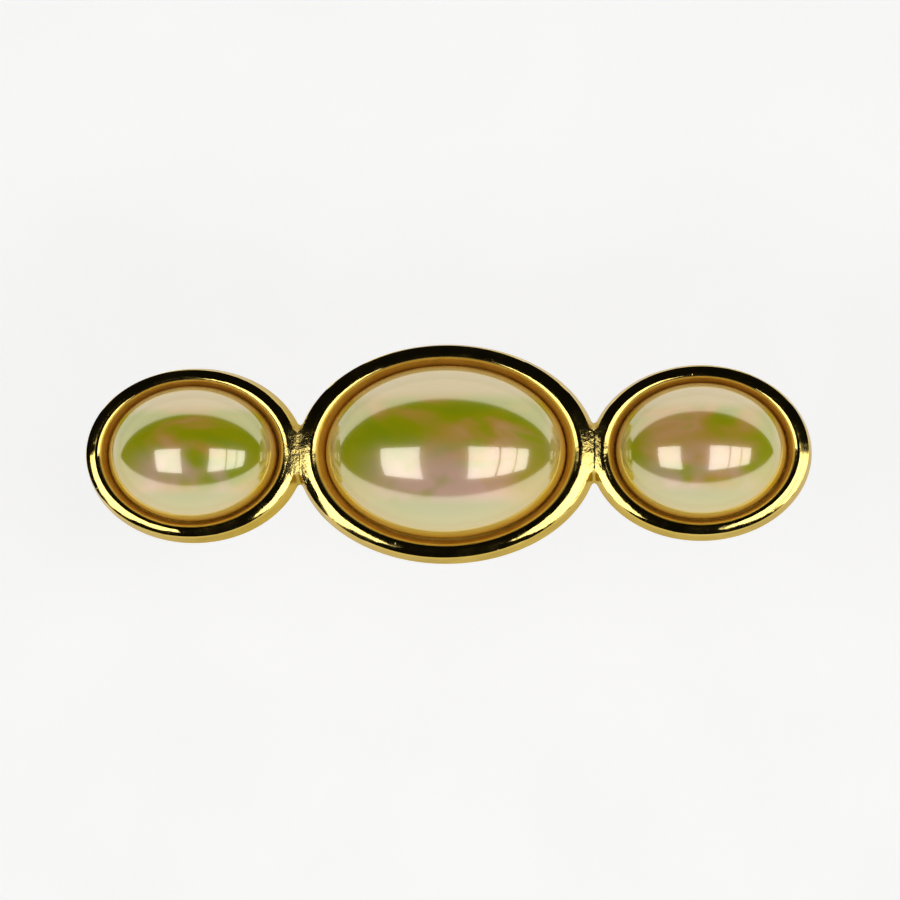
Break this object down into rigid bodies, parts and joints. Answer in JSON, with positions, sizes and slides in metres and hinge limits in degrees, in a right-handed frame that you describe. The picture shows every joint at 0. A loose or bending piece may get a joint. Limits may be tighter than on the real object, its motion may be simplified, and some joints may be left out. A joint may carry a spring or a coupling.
{
  "type": "hair barrette",
  "caption": "Hair barrette: oval domed cabochons in a polished cast frame of joined bezels, over a hinged snap clip with a bowed tension bar.",
  "frame": {"origin": "middle of the bounding box at its lowest point, the tips of the clip's catch and hinge ears, with the clip closed and the decorative face up", "axes": "+X along the length towards the catch end, +Y across the width, +Z out of the decorative face"},
  "size_m": [0.076, 0.023, 0.0194],
  "materials": {
    "gold_plate": "polished",
    "faux_pearl": "iridescent gloss",
    "clip_steel": "nickel plated",
    "spring_steel": "satin",
    "rivet_steel": "nickel plated"
  },
  "bodies": {
    "front": {"bezel_frame": "gold_plate", "centre_cabochon": "faux_pearl", "left_cabochon": "faux_pearl", "right_cabochon": "faux_pearl", "clip_plate": "clip_steel", "plate_rivet_hinge_end": "rivet_steel", "plate_rivet_catch_end": "rivet_steel", "hinge_pin": "rivet_steel", "catch_base": "clip_steel", "catch_rivet": "rivet_steel"},
    "arm": {"closing_arm": "clip_steel"},
    "bar": {"tension_bar": "spring_steel"},
    "prong_front": {"catch_prong_front": "clip_steel"},
    "prong_rear": {"catch_prong_rear": "clip_steel"}
  },
  "joints": [
    {"name": "arm_hinge", "type": "hinge", "parent": "front", "child": "arm", "pos_m": [-0.0275, 0, 0.00295], "axis": [0, 1, 0], "range_deg": [0, 95]},
    {"name": "tension_bar_hinge", "type": "hinge", "parent": "front", "child": "bar", "pos_m": [-0.0275, 0, 0.00295], "axis": [0, 1, 0], "range_deg": [0, 23.75]},
    {"name": "prong_front_flex", "type": "hinge", "parent": "front", "child": "prong_front", "pos_m": [0.0275, -0.0025, 0.008], "axis": [1, 0, 0], "range_deg": [0, 7], "stiffness_Nm_per_rad": 0.3},
    {"name": "prong_rear_flex", "type": "hinge", "parent": "front", "child": "prong_rear", "pos_m": [0.0275, 0.0025, 0.008], "axis": [-1, 0, 0], "range_deg": [0, 7], "stiffness_Nm_per_rad": 0.3}
  ],
  "couplings": [
    {"joint": "tension_bar_hinge", "follows": "arm_hinge", "ratio": 0.25}
  ]
}
